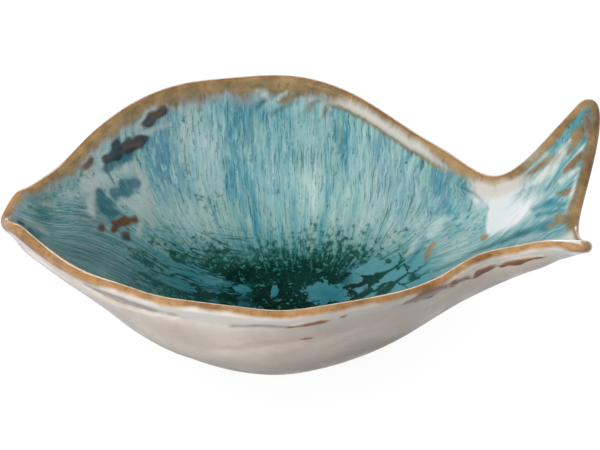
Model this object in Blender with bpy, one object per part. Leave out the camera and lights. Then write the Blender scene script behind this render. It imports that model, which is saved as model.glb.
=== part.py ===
"""Fish-shaped stoneware bowl: a pinched clay shell and the coats of glaze that lie on it.

The middle of the wall is a smooth surface, lofted through cross sections from the snout to the
tail. Each piece fills the wall between two distances from that surface, so a change of one size
moves every piece that lies on it. Metres, +Z up, snout at -X, resting on the foot at Z = 0.
"""
import bpy
import numpy as np

# Cross sections of the middle of the wall, from the snout to the tail. Each one has its place along
# the fish, the half width and the height of its rim, and the height of its keel. Its fullness is 2 on
# a plain round trough, and more on a flatter floor with steeper sides.

# Snout
SNOUT_X = -0.1195
SNOUT_HALF_WIDTH = 0.0066
SNOUT_RIM = 0.0609
SNOUT_KEEL = 0.0545
SNOUT_FULLNESS = 2.2

# Lips
LIPS_X = -0.106
LIPS_HALF_WIDTH = 0.019
LIPS_RIM = 0.0577
LIPS_KEEL = 0.042
LIPS_FULLNESS = 2.3

# Cheek
CHEEK_X = -0.092
CHEEK_HALF_WIDTH = 0.0368
CHEEK_RIM = 0.0612
CHEEK_KEEL = 0.0365
CHEEK_FULLNESS = 2.5

# Shoulder
SHOULDER_X = -0.06
SHOULDER_HALF_WIDTH = 0.064
SHOULDER_RIM = 0.0688
SHOULDER_KEEL = 0.017
SHOULDER_FULLNESS = 3.0

# Belly, the widest section
BELLY_X = -0.014
BELLY_HALF_WIDTH = 0.074
BELLY_RIM = 0.0695
BELLY_KEEL = 0.0025
BELLY_FULLNESS = 3.4

# Flank
FLANK_X = 0.03
FLANK_HALF_WIDTH = 0.0595
FLANK_RIM = 0.0635
FLANK_KEEL = 0.01
FLANK_FULLNESS = 3.0

# Loin
LOIN_X = 0.058
LOIN_HALF_WIDTH = 0.0368
LOIN_RIM = 0.0577
LOIN_KEEL = 0.021
LOIN_FULLNESS = 2.6

# Stalk of the tail, the narrowest section
STALK_X = 0.082
STALK_HALF_WIDTH = 0.0225
STALK_RIM = 0.058
STALK_KEEL = 0.031
STALK_FULLNESS = 2.3

# Fan of the tail
FAN_X = 0.102
FAN_HALF_WIDTH = 0.0335
FAN_RIM = 0.0705
FAN_KEEL = 0.048
FAN_FULLNESS = 2.2

# Tip of the tail
TIP_X = 0.124
TIP_HALF_WIDTH = 0.049
TIP_RIM = 0.089
TIP_KEEL = 0.0635
TIP_FULLNESS = 2.0

SECTIONS = (
    (SNOUT_X, SNOUT_HALF_WIDTH, SNOUT_RIM, SNOUT_KEEL, SNOUT_FULLNESS),
    (LIPS_X, LIPS_HALF_WIDTH, LIPS_RIM, LIPS_KEEL, LIPS_FULLNESS),
    (CHEEK_X, CHEEK_HALF_WIDTH, CHEEK_RIM, CHEEK_KEEL, CHEEK_FULLNESS),
    (SHOULDER_X, SHOULDER_HALF_WIDTH, SHOULDER_RIM, SHOULDER_KEEL, SHOULDER_FULLNESS),
    (BELLY_X, BELLY_HALF_WIDTH, BELLY_RIM, BELLY_KEEL, BELLY_FULLNESS),
    (FLANK_X, FLANK_HALF_WIDTH, FLANK_RIM, FLANK_KEEL, FLANK_FULLNESS),
    (LOIN_X, LOIN_HALF_WIDTH, LOIN_RIM, LOIN_KEEL, LOIN_FULLNESS),
    (STALK_X, STALK_HALF_WIDTH, STALK_RIM, STALK_KEEL, STALK_FULLNESS),
    (FAN_X, FAN_HALF_WIDTH, FAN_RIM, FAN_KEEL, FAN_FULLNESS),
    (TIP_X, TIP_HALF_WIDTH, TIP_RIM, TIP_KEEL, TIP_FULLNESS),
)

# Ends of the rim
SNOUT_ROUND = 0.0065
TAIL_CORNER_X = 0.108
TAIL_SLANT = 0.005
TAIL_ROUND = 0.015
FORK_DEPTH = 0.015

# Wall
CLAY_WALL = 0.003
GLAZE_COAT = 0.0006
COAT_GAP = 0.0003
RIM_INSIDE = 0.004
RIM_OUTSIDE = 0.0035

# Base and foot
WELL_X = -0.012
FOOT_STAND = 0.0012
FLOOR_BLEND = 0.004
FOOT_LENGTH = 0.050
FOOT_WIDTH = 0.046
FOOT_DRAFT = 0.0005

# Pool of run glaze in the well
POOL_DEPTH = 0.003
POOL_EDGE = 0.0004

# Columns round the rim and rows down the wall
HEAD_COLUMNS = 12
SIDE_COLUMNS = 24
TAIL_COLUMNS = 20
LIP_ROWS = 6
WALL_ROWS = 7
WELL_ROWS = 4

CLAY_FACE = CLAY_WALL / 2
COAT_BED = CLAY_FACE + COAT_GAP
COAT_FACE = COAT_BED + GLAZE_COAT
FLOOR = FOOT_STAND + COAT_FACE
RAY_SAMPLES = 400
SMALL_STEP = 1e-5

# Linear colour and roughness of each finish
BARE_CLAY = ((0.36, 0.27, 0.20), 0.85)
CELADON = ((0.30, 0.47, 0.47), 0.12)
IRON_BROWN = ((0.30, 0.15, 0.055), 0.2)
CREAM = ((0.68, 0.62, 0.57), 0.3)
EMERALD = ((0.008, 0.07, 0.06), 0.05)


def fair_line(places, values):
    """The smoothest curve through the values at the places, straight at both ends."""
    count = len(places)
    span = np.diff(places)
    slope = np.diff(values) / span
    system = np.eye(count)
    bend = np.zeros(count)
    for i in range(1, count - 1):
        system[i, i - 1:i + 2] = span[i - 1], 2 * (span[i - 1] + span[i]), span[i]
        bend[i] = 6 * (slope[i] - slope[i - 1])
    bend = np.linalg.solve(system, bend)

    def line(x):
        i = np.clip(np.searchsorted(places, x) - 1, 0, count - 2)
        on = x - places[i]
        rise = slope[i] - span[i] * (2 * bend[i] + bend[i + 1]) / 6
        return values[i] + on * (rise + on * (bend[i] / 2 + on * (bend[i + 1] - bend[i]) / (6 * span[i])))

    return line


TABLE = np.array(SECTIONS)
HALF_WIDTH, RIM, KEEL, FULLNESS = (fair_line(TABLE[:, 0], TABLE[:, k]) for k in range(1, 5))


def middle(spot):
    """Points on the middle of the wall. A spot is a place along the fish and a share of the half width."""
    x, share = spot[..., 0], spot[..., 1]
    keel = KEEL(x)
    rise = keel + (RIM(x) - keel) * np.abs(share) ** FULLNESS(x) - FLOOR
    height = FLOOR + (rise + np.hypot(rise, FLOOR_BLEND)) / 2
    return np.stack([x, share * HALF_WIDTH(x), height], axis=-1)


def slopes(spot):
    """How the middle of the wall moves for a step along the fish and for a step across it."""
    return [(middle(spot + step) - middle(spot - step)) / (2 * SMALL_STEP)
            for step in (np.array([SMALL_STEP, 0.0]), np.array([0.0, SMALL_STEP]))]


def unit(vectors):
    return vectors / np.linalg.norm(vectors, axis=-1, keepdims=True)


def off_middle(spot, distance):
    """Points at a distance from the middle of the wall, counted into the bowl."""
    return middle(spot) + distance * unit(np.cross(*slopes(spot)))


def rim_spots(inset=0.0):
    """A line once round the wall, an inset below the rim: snout, back, tail and belly."""
    turn = np.linspace(-np.pi / 2, np.pi / 2, HEAD_COLUMNS, endpoint=False)
    head = np.stack([SNOUT_X + inset + SNOUT_ROUND * (1 - np.cos(turn)), np.sin(turn)], axis=-1)
    turn = np.linspace(np.pi / 2, -np.pi / 2, TAIL_COLUMNS, endpoint=False)
    reach = TAIL_SLANT * np.sin(turn) + TAIL_ROUND * np.cos(turn) - FORK_DEPTH * np.cos(turn) ** 3
    corner = TAIL_CORNER_X - inset
    tail = np.stack([corner + reach, np.sin(turn)], axis=-1)
    mouth = SNOUT_X + inset + SNOUT_ROUND
    along = np.linspace(mouth, corner + TAIL_SLANT, SIDE_COLUMNS, endpoint=False)
    back = np.stack([along, np.ones(SIDE_COLUMNS)], axis=-1)
    along = np.linspace(corner - TAIL_SLANT, mouth, SIDE_COLUMNS, endpoint=False)
    belly = np.stack([along, -np.ones(SIDE_COLUMNS)], axis=-1)
    spots = np.concatenate([head, back, tail, belly])
    brim = np.stack([spots[:, 0], np.ones(len(spots))], axis=-1)
    spots[:, 1] *= 1 - inset / np.linalg.norm(slopes(brim)[1], axis=-1)
    return spots


def rim_up(rim):
    """The way out of the wall at the rim, square to the rim's run."""
    ring = middle(rim)
    tangent = np.roll(ring, -1, axis=0) - np.roll(ring, 1, axis=0)
    return unit(np.cross(np.cross(*slopes(rim)), tangent))


def well_spot():
    return np.array([WELL_X, 0.0])


def ray(start, share):
    """Spots on straight ways from the start of each column to the middle of the well."""
    return start + np.asarray(share)[..., None] * (well_spot() - start)


def crossing(start, measure, level):
    """The share of each column's way to the well at which a falling measure meets the level."""
    shares = np.linspace(0, 1, RAY_SAMPLES)
    values = measure(ray(start[:, None], np.broadcast_to(shares, (len(start), RAY_SAMPLES))))
    return np.array([np.interp(-level, -row, shares) for row in values])


def foot_measure(room):
    """How far out a spot is on the foot's oval, which is 1 on the oval that is wider by the room."""
    def measure(spot):
        point = middle(spot)
        across = (point[..., 0] - WELL_X) / (FOOT_LENGTH / 2 + room)
        return np.hypot(across, point[..., 1] / (FOOT_WIDTH / 2 + room))
    return measure


def rows_between(start, first, last, count, endpoint=True):
    """Rows of spots on the columns' ways, from one share to another."""
    shares = np.linspace(first, last, count, endpoint=endpoint)
    return [ray(start, share) for share in shares]


def lip(rim, up, radius):
    """Rows round the lip, from the wall's inner side over the top to its outer side."""
    ring = middle(rim)
    side = off_middle(rim, radius) - ring
    turns = np.linspace(0, np.pi, LIP_ROWS + 2)[1:-1]
    return [ring + np.cos(turn) * side + np.sin(turn) * radius * up for turn in turns]


def at(rows, distance):
    return [off_middle(row, distance) for row in rows]


def new_object(name, finish, mesh_points, faces):
    colour, roughness = finish
    mesh = bpy.data.meshes.new(name)
    mesh.from_pydata([tuple(point) for point in mesh_points], [], faces)
    material = bpy.data.materials.new(name)
    material.use_nodes = True
    shader = material.node_tree.nodes["Principled BSDF"]
    shader.inputs["Base Color"].default_value = (*colour, 1.0)
    shader.inputs["Roughness"].default_value = roughness
    mesh.materials.append(material)
    bpy.context.scene.collection.objects.link(bpy.data.objects.new(name, mesh))


def loft(name, finish, rows, ends=None):
    """Skin the rows, each a ring of points: closed on itself, or run out to a point at both ends.

    The rows run out from the well on the side that faces up, and back in on the side that faces down.
    Each four-sided patch is split along its shorter diagonal, so coats that lie on each other match.
    """
    columns = len(rows[0])
    points = np.concatenate(rows)
    faces = []
    for j in range(len(rows) if ends is None else len(rows) - 1):
        near, far = j * columns, (j + 1) % len(rows) * columns
        for i in range(columns):
            k = (i + 1) % columns
            patch = near + i, near + k, far + k, far + i
            cut = np.linalg.norm(points[[patch[2], patch[3]]] - points[[patch[0], patch[1]]], axis=1)
            turn = int(cut[1] < cut[0])
            a, b, c, d = patch[turn:] + patch[:turn]
            faces += [(a, b, c), (a, c, d)]
    if ends is not None:
        points = np.concatenate([points, ends])
        first, last = len(points) - 2, len(points) - 1
        below = (len(rows) - 1) * columns
        for i in range(columns):
            k = (i + 1) % columns
            faces += [(i, first, k), (below + i, below + k, last)]
    new_object(name, finish, points, faces)


def build():
    rim = rim_spots()
    up = rim_up(rim)
    rim_inside, inner_start = rim_spots(RIM_INSIDE), rim_spots(RIM_INSIDE + COAT_GAP)
    rim_outside, outer_start = rim_spots(RIM_OUTSIDE), rim_spots(RIM_OUTSIDE + COAT_GAP)

    bed = COAT_FACE + COAT_GAP
    level = off_middle(well_spot(), bed)[2] + POOL_DEPTH
    shore = crossing(inner_start, lambda spot: off_middle(spot, bed)[..., 2], level - POOL_EDGE)
    well = rows_between(inner_start, shore, 1.0, WELL_ROWS, endpoint=False)
    inner = rows_between(inner_start, 0.0, shore, WALL_ROWS, endpoint=False) + well
    foot_edge = crossing(outer_start, foot_measure(0.0), 1.0)
    coat_edge = crossing(outer_start, foot_measure(COAT_GAP), 1.0)
    outer = rows_between(outer_start, 0.0, coat_edge, WALL_ROWS)

    clay_inner = at([rim, rim_inside] + inner, CLAY_FACE)[::-1]
    clay_outer = at([rim, rim_outside] + outer + [ray(outer_start, foot_edge)], -CLAY_FACE)
    foot_ring = clay_outer[-1] * (1, 1, 0)
    foot_middle = np.array([WELL_X, 0.0, 0.0])
    foot_ring = foot_ring + FOOT_DRAFT * unit(foot_middle - foot_ring)
    well_top = off_middle(well_spot(), CLAY_FACE)
    loft("clay_body", BARE_CLAY, clay_inner + lip(rim, up, CLAY_FACE) + clay_outer + [foot_ring],
         [well_top, foot_middle])

    over = at([rim_inside, rim], COAT_FACE) + lip(rim, up, COAT_FACE) + at([rim, rim_outside], -COAT_FACE)
    under = at([rim_inside, rim], COAT_BED) + lip(rim, up, COAT_BED) + at([rim, rim_outside], -COAT_BED)
    loft("rim_glaze", IRON_BROWN, over + under[::-1])

    inner_ends = [off_middle(well_spot(), COAT_FACE), off_middle(well_spot(), COAT_BED)]
    loft("inner_glaze", CELADON, at(inner, COAT_FACE)[::-1] + at(inner, COAT_BED), inner_ends)
    loft("outer_glaze", CREAM, at(outer, -COAT_FACE) + at(outer, -COAT_BED)[::-1])

    pool_bed = at(well, bed)
    pool_shore = pool_bed[0] * (1, 1, 0) + (0, 0, level)
    loft("glaze_pool", EMERALD, [pool_shore] + pool_bed,
         [np.array([WELL_X, 0.0, level]), off_middle(well_spot(), bed)])


for old in list(bpy.data.objects):
    bpy.data.objects.remove(old)
build()
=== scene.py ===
"""Looks of the fish-shaped stoneware bowl, laid out as an add-on and run as a script.

Every glaze coat is skinned finely from the same lines plan as the solids it stands for. What the glaze
does depends on where it lies: the way it ran down the wall, how far it is from the lip, how near it is
to the well. Those are kept on the skins as attributes, and the materials read them.
"""
import functools
import math

import bpy
import numpy as np
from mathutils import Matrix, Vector


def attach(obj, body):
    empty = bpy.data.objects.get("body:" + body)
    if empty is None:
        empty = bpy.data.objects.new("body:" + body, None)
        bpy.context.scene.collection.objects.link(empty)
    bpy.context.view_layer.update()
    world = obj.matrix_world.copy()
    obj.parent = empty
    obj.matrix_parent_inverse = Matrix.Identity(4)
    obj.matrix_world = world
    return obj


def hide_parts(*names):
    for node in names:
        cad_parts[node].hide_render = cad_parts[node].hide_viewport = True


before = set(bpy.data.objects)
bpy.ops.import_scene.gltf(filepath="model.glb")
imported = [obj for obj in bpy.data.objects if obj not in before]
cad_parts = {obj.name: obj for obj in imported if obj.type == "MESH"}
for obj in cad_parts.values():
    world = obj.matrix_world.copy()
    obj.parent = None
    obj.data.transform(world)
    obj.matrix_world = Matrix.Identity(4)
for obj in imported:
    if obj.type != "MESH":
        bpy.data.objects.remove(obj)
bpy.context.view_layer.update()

bl_info = {
    "name": "Fish-shaped bowl",
    "version": (1, 0, 0),
    "blender": (4, 5, 0),
    "location": "3D View > Sidebar > Fish bowl",
    "description": "Glazes the fish-shaped stoneware bowl and sets it on a studio floor",
    "category": "Object",
}

BODY = "root"

# Cross sections of the middle of the wall, snout to tail, as in the part's source:
# place along the fish, half width, height of the rim, height of the keel, fullness.
SECTIONS = np.array([
    (-0.1195, 0.0066, 0.0609, 0.0545, 2.2),
    (-0.106, 0.019, 0.0577, 0.042, 2.3),
    (-0.092, 0.0368, 0.0612, 0.0365, 2.5),
    (-0.06, 0.064, 0.0688, 0.017, 3.0),
    (-0.014, 0.074, 0.0695, 0.0025, 3.4),
    (0.03, 0.0595, 0.0635, 0.01, 3.0),
    (0.058, 0.0368, 0.0577, 0.021, 2.6),
    (0.082, 0.0225, 0.058, 0.031, 2.3),
    (0.102, 0.0335, 0.0705, 0.048, 2.2),
    (0.124, 0.049, 0.089, 0.0635, 2.0),
])
SNOUT_X = -0.1195
SNOUT_ROUND = 0.0065
TAIL_CORNER_X = 0.108
TAIL_SLANT = 0.005
TAIL_ROUND = 0.015
FORK_DEPTH = 0.015
CLAY_FACE = 0.0015
COAT_BED = 0.0018
COAT_FACE = 0.0024
RIM_INSIDE = 0.004
RIM_OUTSIDE = 0.0035
WELL = np.array([-0.012, 0.0])
FLOOR = 0.0036
FLOOR_BLEND = 0.004
FOOT_LENGTH = 0.050
FOOT_WIDTH = 0.046
FOOT_DRAFT = 0.0005
POOL_LEVEL = 0.0104
POOL_BED = COAT_FACE - 0.0001
RIM_SHARES = (0.25, 0.5, 0.75, 1.0)
WOBBLE_FALLOFF = 4
SMALL_STEP = 1e-5
CROSSING_STEPS = 400
RUN_STEPS = 300

# How far the hand-pinched rim strays up, in metres at places along the back and along the belly
BACK_STRAYS = np.array([
    (-0.120, 0.0015), (-0.113, -0.0004), (-0.106, 0.0003), (-0.098, -0.0009), (-0.089, -0.0004),
    (-0.070, 0.0006), (-0.050, -0.0003), (-0.033, -0.0015), (-0.018, -0.0002), (-0.006, 0.0013),
    (0.022, 0.0010), (0.034, -0.0005), (0.047, -0.0007), (0.059, 0.0006), (0.073, -0.0005),
    (0.084, 0.0002), (0.106, 0.0004), (0.124, 0.0),
])
BELLY_STRAYS = np.array([
    (-0.120, 0.0), (-0.098, -0.0005), (-0.084, -0.0003), (-0.072, 0.0006), (-0.057, -0.0002),
    (-0.044, 0.0004), (-0.019, -0.0002), (-0.009, -0.0009), (0.006, 0.0003), (0.021, 0.0008),
    (0.041, -0.0007), (0.056, -0.0006), (0.068, 0.0012), (0.082, -0.0009), (0.095, 0.0), (0.106, -0.0015),
    (0.124, -0.0030),
])

# Fineness of the skins
HEAD_COLUMNS = 116
SIDE_COLUMNS = 180
TAIL_COLUMNS = 120
LIP_ROWS = 22
WALL_ROWS = 140
HIDDEN_ROWS = 14
POOL_ROWS = 26
HIDDEN_STEP = WALL_ROWS // HIDDEN_ROWS
SHARP_ANGLE = math.radians(50)

# Ways through the rows of a coat: all of them down or up the wall, and the few that make up its back
DOWN = slice(None)
UP = slice(None, None, -1)
BACK_DOWN = slice(None, None, HIDDEN_STEP)
BACK_UP = slice(WALL_ROWS - HIDDEN_STEP, None, -HIDDEN_STEP)
POOL_BACK = slice(1, None, 3)
CLAY_LIP = slice(None, None, 3)

# Where the run glaze gathers: the middle that the streaks point to, and its reach to four sides
GATHER_X = -0.002
GATHER_Y = 0.005
GATHER_HEAD = 0.076
GATHER_TAIL = 0.054
GATHER_ACROSS = 0.039
CELLS_PER_METRE = (75.0, 160.0, 60.0)
LINES_PER_METRE = (34.0, 190.0, 60.0)
PATCHES_PER_METRE = (42.0, 120.0, 40.0)
FLOW_LENGTH = 0.075
FLOW_STEEPNESS = 2.2
NO_WAY = 1e-6

# Soft patches of the inner glaze, where it is pale, where it is blue, and where painted shade darkens it;
# the pale
# patch at the tail is painted light. Each: x, y, radius and strength
PATCHES = {
    "pale": (
        (-0.048, 0.056, 0.016, 1.0), (-0.046, 0.044, 0.012, 0.8), (-0.062, 0.038, 0.010, 0.7),
        (0.028, 0.042, 0.014, 0.8), (0.005, 0.060, 0.012, 0.6), (0.053, 0.027, 0.012, 1.0),
        (0.062, 0.014, 0.012, 0.9), (0.042, 0.036, 0.011, 1.0), (0.034, 0.027, 0.011, 0.7),
        # The last pale patch, at the tail, is painted light on a wall that lies in shade.
        (-0.098, 0.026, 0.007, 0.4), (-0.085, 0.036, 0.013, 0.75), (0.100, 0.012, 0.016, 0.8),
    ),
    "blue": (
        (-0.058, 0.049, 0.008, 1.0), (-0.023, 0.064, 0.014, 0.7), (0.014, 0.058, 0.007, 0.5),
        (0.036, 0.053, 0.009, 0.8), (0.061, 0.034, 0.012, 1.0), (0.050, 0.045, 0.012, 1.0),
    ),
    # Painted shade: the floor of the head and the floor by the near wall
    "floor_shade": (
        (-0.088, 0.000, 0.020, 1.0), (-0.087, 0.017, 0.014, 1.0), (-0.070, -0.010, 0.024, 1.0),
        (-0.105, 0.004, 0.010, 0.7), (-0.106, 0.011, 0.008, 1.0), (-0.097, 0.014, 0.009, 0.8),
        (-0.050, -0.030, 0.026, 0.9), (-0.056, 0.004, 0.014, 0.7),
    ),
}

# Pale islands that float in the dark pool: x, y, half length, half width
ISLANDS = (
    (0.0094, 0.0082, 0.0088, 0.0072),
    (0.0270, 0.0190, 0.0066, 0.0034),
    (-0.0262, 0.0110, 0.0036, 0.0026),
    (-0.0122, 0.0100, 0.0014, 0.0040),
    (-0.0420, 0.0165, 0.0100, 0.0034),
    (-0.0380, 0.0095, 0.0070, 0.0026),
    (-0.0520, 0.0060, 0.0070, 0.0026),
    (0.0130, -0.0200, 0.0070, 0.0050),
    (-0.0250, -0.0180, 0.0080, 0.0050),
)
FAR_FROM_ISLANDS = -2.0

# Width of the iron band inside the lip, at places along the fish
BAND_WIDTHS = np.array([
    (-0.12, -0.0014), (-0.113, -0.0004), (-0.10, 0.003), (-0.06, 0.0045), (-0.02, 0.0050), (0.002, 0.0055),
    (0.012, 0.0025), (0.020, -0.0004), (0.050, -0.0002), (0.059, 0.0016), (0.067, 0.0014), (0.075, -0.0003),
    (0.095, 0.0013), (0.115, 0.0015),
])

# Thick, pale glaze at the tail's stalk, laid near white as a painted highlight: a slanted patch with a sharp
# side to the bowl and a soft one to the tail, and a painted flush of it under the lip, at places along the
# fish and shares of the half width
MILK_HIGHLIGHT_LEFT = 0.0755
MILK_HIGHLIGHT_RIGHT = 0.1050
MILK_HIGHLIGHT_BOTTOM = 0.57
MILK_HIGHLIGHT_BOTTOM_EDGE = 0.08
MILK_HIGHLIGHT_BEND = 0.85
MILK_HIGHLIGHT_LEAN = 0.031
MILK_HIGHLIGHT_EDGE = 0.0012
MILK_HIGHLIGHT_FADE = 0.017
BLUSH_HIGHLIGHT_START = (0.064, 0.075)
BLUSH_HIGHLIGHT_END = (0.097, 0.084)
BLUSH_HIGHLIGHT_BOTTOM = (0.78, 0.93)

# Where a finish changes, as the place where the change starts and the place where it is complete.
# Along the fish:
# Painted reflection: the cream band inside the far lip, where the glaze would mirror a softbox:
REFLECTION_BAND_START = (0.004, 0.014)
REFLECTION_BAND_END = (0.066, 0.052)
BRONZE_END = (0.030, 0.010)
THIN_IRON_START = (0.044, 0.058)
THIN_IRON_END = (0.082, 0.070)
LILAC_HEAD = (-0.055, -0.080)
POOL_WEST = (-0.016, -0.034)
POOL_EAST = (0.008, 0.030)
CELLS_START = (0.012, 0.024)
BARE_SLIP = (-0.045, -0.025)
TAIL_GROOVES = (0.085, 0.100)
RAY_START = (0.06, 0.08)
RAY_TIPS = (0.104, 0.116)
RAGGED_END = (0.004, 0.020)
VEIL_END = (0.020, 0.004)
LOBE_START = (0.082, 0.092)
LOBE_TIP = (0.1080, 0.1062)
LOBE_FOLD = (0.086, 0.110)
SNOUT_LIP = (-0.070, -0.105)
TAIL_LIP = (0.099, 0.108)
# Painted shade on the outside, from the middle towards the tail:
PAINTED_SHADE_START = (-0.024, 0.020)
PAINTED_SHADE_END = (0.064, 0.036)
FIN_STROKES_START = (-0.026, -0.018)
FIN_STROKES_END = (0.016, 0.008)
# Across the fish, the last as shares of the half width:
BACK_SIDE = (0.004, 0.020)
NEAR_LOBE = (-0.004, -0.012)
POOL_BANK = (0.027, 0.015)
FIN_STROKES_SHARE = (0.5, 0.7)
# Up from the foot:
# Towards the foot the outer glaze thins to clay, and it is also laid darker as painted shade:
BARE_AND_SHADED_BELOW = (0.044, 0.018)
PINCH_ABOVE = (0.006, 0.016)
# Down from the rim:
LIP_TURN = (-0.0008, -0.0036)
# Painted shade on the outer side of the far lip:
FAR_LIP_SHADE = (-0.0012, -0.0036)
BRONZE_DROP = (0.001, 0.006)
BLUSH_HIGHLIGHT_DROP = (0.013, 0.006)
REFLECTION_HONEY_DROP = (0.0, 0.005)
REFLECTION_BAND_DROP = (0.0052, 0.0022)
SEAM_DROP = 0.0050
SEAM_WIDTH = (0.0018, 0.0002)
VEIL_DROP = (0.0055, 0.0)
IRON_DROP = (0.0022, -0.0022)
CROWN_DROP = (-0.0004, 0.0004)
MIST_DROP = (0.011, 0.003)
LIP_OUTSIDE = (-0.0030, -0.0004)
FIN_STROKES_DROP = (0.018, 0.009)
FIN_DROP = (RIM_INSIDE, RIM_INSIDE + 0.003)
PINCH_DROP = (RIM_OUTSIDE, RIM_OUTSIDE + 0.006)

# Relief. The tail's rays come up within the first length. A ray strays by a share of the half width and a
# stroke of the back fin by a length. The grooves between them are lifted, too, the strokes show less in
# the colour than the rays, and a noise at the last value leaves the outside as it is.
FIN_RAY_FADE = 0.014
RAY_STRAY = 0.26
STROKE_STRAY = 0.022
STRAYS_PER_METRE = 60.0
GROOVE_LIFT = 0.5
STROKE_SHOW = 0.6
UNPINCHED = 0.42

# Finishes: a noise's scale, detail and roughness with the least and the most gloss roughness, then
# another's with the depth of its bump in metres, and the specular level
GROG = (700, 3, 0.7)
FINISHES = {
    "bare_clay": (GROG, (0.75, 0.92), GROG, 0.0003, 0.5),
    "celadon_glaze": ((300, 2, 0.5), (0.10, 0.16), (130, 2, 0.5), 0.00012, 0.35),
    "emerald_glaze": ((300, 2, 0.5), (0.06, 0.12), (130, 2, 0.5), 0.00012, 0.12),
    "iron_lip": ((300, 2, 0.5), (0.10, 0.20), (260, 3, 0.5), 0.00015, 0.5),
    "cream_glaze": ((90, 3, 0.5), (0.26, 0.40), (160, 2, 0.5), 0.00015, 0.18),
}
GLAZE_IOR = 1.5
NOISE_RANGE = (0.3, 0.7)
DRIPS_PER_METRE = (330.0, 330.0, 45.0)
BRUSH_PER_METRE = (70.0, 70.0, 700.0)
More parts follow.
